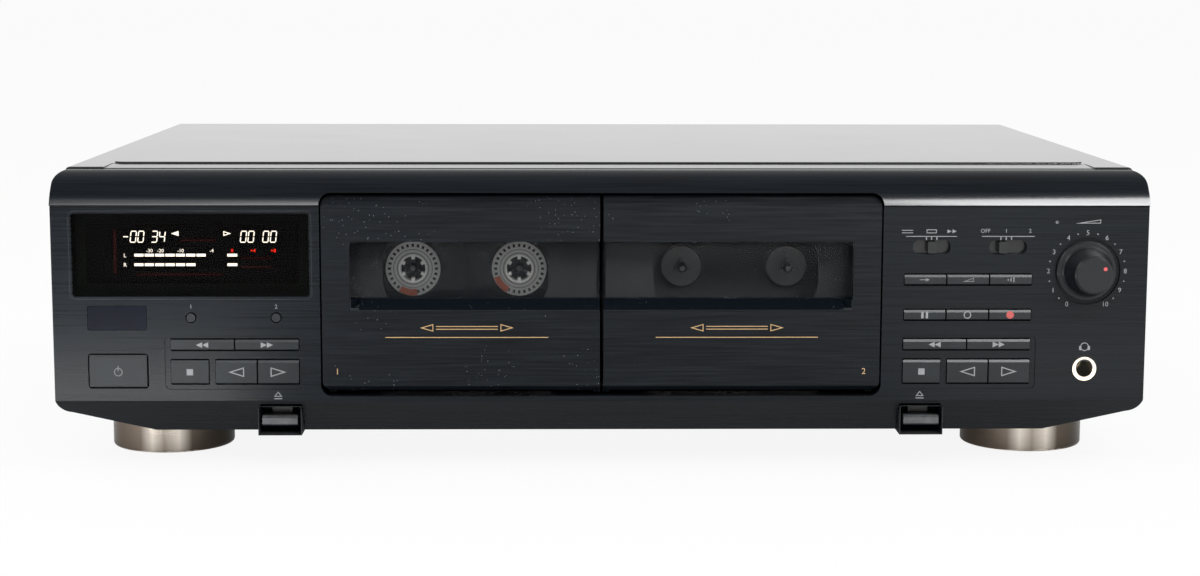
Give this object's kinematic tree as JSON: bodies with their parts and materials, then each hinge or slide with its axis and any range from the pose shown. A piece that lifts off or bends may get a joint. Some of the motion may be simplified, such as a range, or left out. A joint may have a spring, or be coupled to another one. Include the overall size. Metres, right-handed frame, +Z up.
{
  "type": "cassette duplicator",
  "caption": "Full-width double cassette deck: two hinged doors with window trays, key rows, level knob, display window, round feet and a folded steel cover.",
  "frame": {"origin": "on the floor under the middle of the whole object's bounding box", "axes": "+X to the right seen from the front, +Y to the back, +Z up"},
  "size_m": [0.43, 0.309, 0.1207],
  "materials": {
    "panel_black": "brushed-effect black",
    "door_black": "satin black with gold print",
    "cover_paint": "fine satin black paint",
    "zinc_steel": "zinc plated",
    "rear_paint": "matt black paint",
    "smoked_clear": "polished smoked",
    "tube_glass": "dark glass",
    "key_black": "fine satin",
    "knob_black": "satin",
    "foot_metal": "brushed champagne skin",
    "jack_metal": "bright plated",
    "gold_plate": "plated",
    "moulded_black": "matt",
    "holder_black": "matt",
    "board": "circuit board",
    "core_steel": "varnished laminations",
    "spindle_grey": "satin",
    "shell_smoke": "smoked clear",
    "hub_white": "satin white",
    "capstan_steel": "ground shaft and turned flywheel",
    "pot_metal": "plain"
  },
  "bodies": {
    "case": {"front_panel": "panel_black", "top_cover": "cover_paint", "chassis_tray": "zinc_steel", "rear_panel": "rear_paint", "line_jacks": "gold_plate", "cord_gland": "moulded_black", "feet": "foot_metal", "display_window": "smoked_clear", "display_tube": "tube_glass", "remote_window": "smoked_clear", "level_control": "pot_metal", "phones_jack": "jack_metal", "key_boards": "board", "main_board": "board", "transformer": "core_steel", "deck_plate_a": "zinc_steel", "deck_plate_b": "zinc_steel"},
    "rewind_key_a": {"rewind_key_a": "key_black"},
    "fast_forward_key_a": {"fast_forward_key_a": "key_black"},
    "stop_key_a": {"stop_key_a": "key_black"},
    "reverse_play_key_a": {"reverse_play_key_a": "key_black"},
    "play_key_a": {"play_key_a": "key_black"},
    "rewind_key_b": {"rewind_key_b": "key_black"},
    "fast_forward_key_b": {"fast_forward_key_b": "key_black"},
    "stop_key_b": {"stop_key_b": "key_black"},
    "reverse_play_key_b": {"reverse_play_key_b": "key_black"},
    "play_key_b": {"play_key_b": "key_black"},
    "copy_key": {"copy_key": "key_black"},
    "fader_key": {"fader_key": "key_black"},
    "level_search_key": {"level_search_key": "key_black"},
    "pause_key": {"pause_key": "key_black"},
    "record_mute_key": {"record_mute_key": "key_black"},
    "record_key": {"record_key": "key_black"},
    "reset_button_a": {"reset_button_a": "key_black"},
    "reset_button_b": {"reset_button_b": "key_black"},
    "power_button": {"power_button": "key_black"},
    "direction_slider": {"direction_slider": "key_black"},
    "noise_slider": {"noise_slider": "key_black"},
    "level_knob": {"level_knob": "knob_black"},
    "eject_lever_a": {"eject_lever_a": "key_black"},
    "door_a": {"cassette_door_a": "door_black", "door_window_a": "smoked_clear", "cassette_holder_a": "holder_black", "cassette_shell": "shell_smoke"},
    "head_block_a": {"head_block_a": "zinc_steel"},
    "reel_spindle_a_left": {"reel_spindle_a_left": "spindle_grey"},
    "capstan_a_left": {"capstan_a_left": "capstan_steel"},
    "reel_spindle_a_right": {"reel_spindle_a_right": "spindle_grey"},
    "capstan_a_right": {"capstan_a_right": "capstan_steel"},
    "eject_lever_b": {"eject_lever_b": "key_black"},
    "door_b": {"cassette_door_b": "door_black", "door_window_b": "smoked_clear", "cassette_holder_b": "holder_black"},
    "head_block_b": {"head_block_b": "zinc_steel"},
    "reel_spindle_b_left": {"reel_spindle_b_left": "spindle_grey"},
    "capstan_b_left": {"capstan_b_left": "capstan_steel"},
    "reel_spindle_b_right": {"reel_spindle_b_right": "spindle_grey"},
    "capstan_b_right": {"capstan_b_right": "capstan_steel"},
    "tape_hub_left": {"tape_hub_left": "hub_white"},
    "tape_hub_right": {"tape_hub_right": "hub_white"}
  },
  "joints": [
    {"name": "rewind_key_a_press", "type": "slide", "parent": "case", "child": "rewind_key_a", "axis": [0, 1, 0], "range_m": [0, 0.0008], "stiffness_N_per_m": 400, "springref_m": -0.001},
    {"name": "fast_forward_key_a_press", "type": "slide", "parent": "case", "child": "fast_forward_key_a", "axis": [0, 1, 0], "range_m": [0, 0.0008], "stiffness_N_per_m": 400, "springref_m": -0.001},
    {"name": "stop_key_a_press", "type": "slide", "parent": "case", "child": "stop_key_a", "axis": [0, 1, 0], "range_m": [0, 0.0008], "stiffness_N_per_m": 400, "springref_m": -0.001},
    {"name": "reverse_play_key_a_press", "type": "slide", "parent": "case", "child": "reverse_play_key_a", "axis": [0, 1, 0], "range_m": [0, 0.0008], "stiffness_N_per_m": 400, "springref_m": -0.001},
    {"name": "play_key_a_press", "type": "slide", "parent": "case", "child": "play_key_a", "axis": [0, 1, 0], "range_m": [0, 0.0008], "stiffness_N_per_m": 400, "springref_m": -0.001},
    {"name": "rewind_key_b_press", "type": "slide", "parent": "case", "child": "rewind_key_b", "axis": [0, 1, 0], "range_m": [0, 0.0008], "stiffness_N_per_m": 400, "springref_m": -0.001},
    {"name": "fast_forward_key_b_press", "type": "slide", "parent": "case", "child": "fast_forward_key_b", "axis": [0, 1, 0], "range_m": [0, 0.0008], "stiffness_N_per_m": 400, "springref_m": -0.001},
    {"name": "stop_key_b_press", "type": "slide", "parent": "case", "child": "stop_key_b", "axis": [0, 1, 0], "range_m": [0, 0.0008], "stiffness_N_per_m": 400, "springref_m": -0.001},
    {"name": "reverse_play_key_b_press", "type": "slide", "parent": "case", "child": "reverse_play_key_b", "axis": [0, 1, 0], "range_m": [0, 0.0008], "stiffness_N_per_m": 400, "springref_m": -0.001},
    {"name": "play_key_b_press", "type": "slide", "parent": "case", "child": "play_key_b", "axis": [0, 1, 0], "range_m": [0, 0.0008], "stiffness_N_per_m": 400, "springref_m": -0.001},
    {"name": "copy_key_press", "type": "slide", "parent": "case", "child": "copy_key", "axis": [0, 1, 0], "range_m": [0, 0.0008], "stiffness_N_per_m": 400, "springref_m": -0.001},
    {"name": "fader_key_press", "type": "slide", "parent": "case", "child": "fader_key", "axis": [0, 1, 0], "range_m": [0, 0.0008], "stiffness_N_per_m": 400, "springref_m": -0.001},
    {"name": "level_search_key_press", "type": "slide", "parent": "case", "child": "level_search_key", "axis": [0, 1, 0], "range_m": [0, 0.0008], "stiffness_N_per_m": 400, "springref_m": -0.001},
    {"name": "pause_key_press", "type": "slide", "parent": "case", "child": "pause_key", "axis": [0, 1, 0], "range_m": [0, 0.0008], "stiffness_N_per_m": 400, "springref_m": -0.001},
    {"name": "record_mute_key_press", "type": "slide", "parent": "case", "child": "record_mute_key", "axis": [0, 1, 0], "range_m": [0, 0.0008], "stiffness_N_per_m": 400, "springref_m": -0.001},
    {"name": "record_key_press", "type": "slide", "parent": "case", "child": "record_key", "axis": [0, 1, 0], "range_m": [0, 0.0008], "stiffness_N_per_m": 400, "springref_m": -0.001},
    {"name": "reset_button_a_press", "type": "slide", "parent": "case", "child": "reset_button_a", "axis": [0, 1, 0], "range_m": [0, 0.0008], "stiffness_N_per_m": 400, "springref_m": -0.001},
    {"name": "reset_button_b_press", "type": "slide", "parent": "case", "child": "reset_button_b", "axis": [0, 1, 0], "range_m": [0, 0.0008], "stiffness_N_per_m": 400, "springref_m": -0.001},
    {"name": "power_press", "type": "slide", "parent": "case", "child": "power_button", "axis": [0, 1, 0], "range_m": [-0.0026, 0], "stiffness_N_per_m": 300, "springref_m": 0.002},
    {"name": "direction_slide", "type": "slide", "parent": "case", "child": "direction_slider", "axis": [1, 0, 0], "range_m": [-0.0021, 0.0021]},
    {"name": "noise_slide", "type": "slide", "parent": "case", "child": "noise_slider", "axis": [1, 0, 0], "range_m": [0, 0.0042]},
    {"name": "level_turn", "type": "hinge", "parent": "case", "child": "level_knob", "pos_m": [0.191, -0.1465, 0.0808], "axis": [0, 1, 0], "range_deg": [-210, 90]},
    {"name": "eject_a_press", "type": "slide", "parent": "case", "child": "eject_lever_a", "axis": [0, 1, 0], "range_m": [0, 0.003], "stiffness_N_per_m": 250, "springref_m": -0.002},
    {"name": "door_a_swing", "type": "hinge", "parent": "case", "child": "door_a", "pos_m": [-0.054, -0.1355, 0.0346], "axis": [1, 0, 0], "range_deg": [0, 21]},
    {"name": "head_a_rise", "type": "slide", "parent": "case", "child": "head_block_a", "axis": [0, 0, 1], "range_m": [0, 0.0056]},
    {"name": "reel_a_left_spin", "type": "hinge", "parent": "case", "child": "reel_spindle_a_left", "pos_m": [-0.07525, -0.1115, 0.0793], "axis": [0, 1, 0], "continuous": true},
    {"name": "capstan_a_left_spin", "type": "hinge", "parent": "case", "child": "capstan_a_left", "pos_m": [-0.084, -0.1115, 0.0515], "axis": [0, 1, 0], "continuous": true},
    {"name": "reel_a_right_spin", "type": "hinge", "parent": "case", "child": "reel_spindle_a_right", "pos_m": [-0.03275, -0.1115, 0.0793], "axis": [0, 1, 0], "continuous": true},
    {"name": "capstan_a_right_spin", "type": "hinge", "parent": "case", "child": "capstan_a_right", "pos_m": [-0.024, -0.1115, 0.0515], "axis": [0, 1, 0], "continuous": true},
    {"name": "eject_b_press", "type": "slide", "parent": "case", "child": "eject_lever_b", "axis": [0, 1, 0], "range_m": [0, 0.003], "stiffness_N_per_m": 250, "springref_m": -0.002},
    {"name": "door_b_swing", "type": "hinge", "parent": "case", "child": "door_b", "pos_m": [0.054, -0.1355, 0.0346], "axis": [1, 0, 0], "range_deg": [0, 21]},
    {"name": "head_b_rise", "type": "slide", "parent": "case", "child": "head_block_b", "axis": [0, 0, 1], "range_m": [0, 0.0056]},
    {"name": "reel_b_left_spin", "type": "hinge", "parent": "case", "child": "reel_spindle_b_left", "pos_m": [0.03275, -0.1115, 0.0793], "axis": [0, 1, 0], "continuous": true},
    {"name": "capstan_b_left_spin", "type": "hinge", "parent": "case", "child": "capstan_b_left", "pos_m": [0.024, -0.1115, 0.0515], "axis": [0, 1, 0], "continuous": true},
    {"name": "reel_b_right_spin", "type": "hinge", "parent": "case", "child": "reel_spindle_b_right", "pos_m": [0.07525, -0.1115, 0.0793], "axis": [0, 1, 0], "continuous": true},
    {"name": "capstan_b_right_spin", "type": "hinge", "parent": "case", "child": "capstan_b_right", "pos_m": [0.084, -0.1115, 0.0515], "axis": [0, 1, 0], "continuous": true},
    {"name": "tape_hub_left_spin", "type": "hinge", "parent": "door_a", "child": "tape_hub_left", "pos_m": [-0.07525, -0.1185, 0.0793], "axis": [0, 1, 0], "continuous": true},
    {"name": "tape_hub_right_spin", "type": "hinge", "parent": "door_a", "child": "tape_hub_right", "pos_m": [-0.03275, -0.1185, 0.0793], "axis": [0, 1, 0], "continuous": true}
  ],
  "couplings": [
    {"joint": "capstan_a_right_spin", "follows": "capstan_a_left_spin", "ratio": -1},
    {"joint": "capstan_b_right_spin", "follows": "capstan_b_left_spin", "ratio": -1},
    {"joint": "tape_hub_left_spin", "follows": "reel_a_left_spin", "ratio": 1},
    {"joint": "tape_hub_right_spin", "follows": "reel_a_right_spin", "ratio": 1}
  ]
}
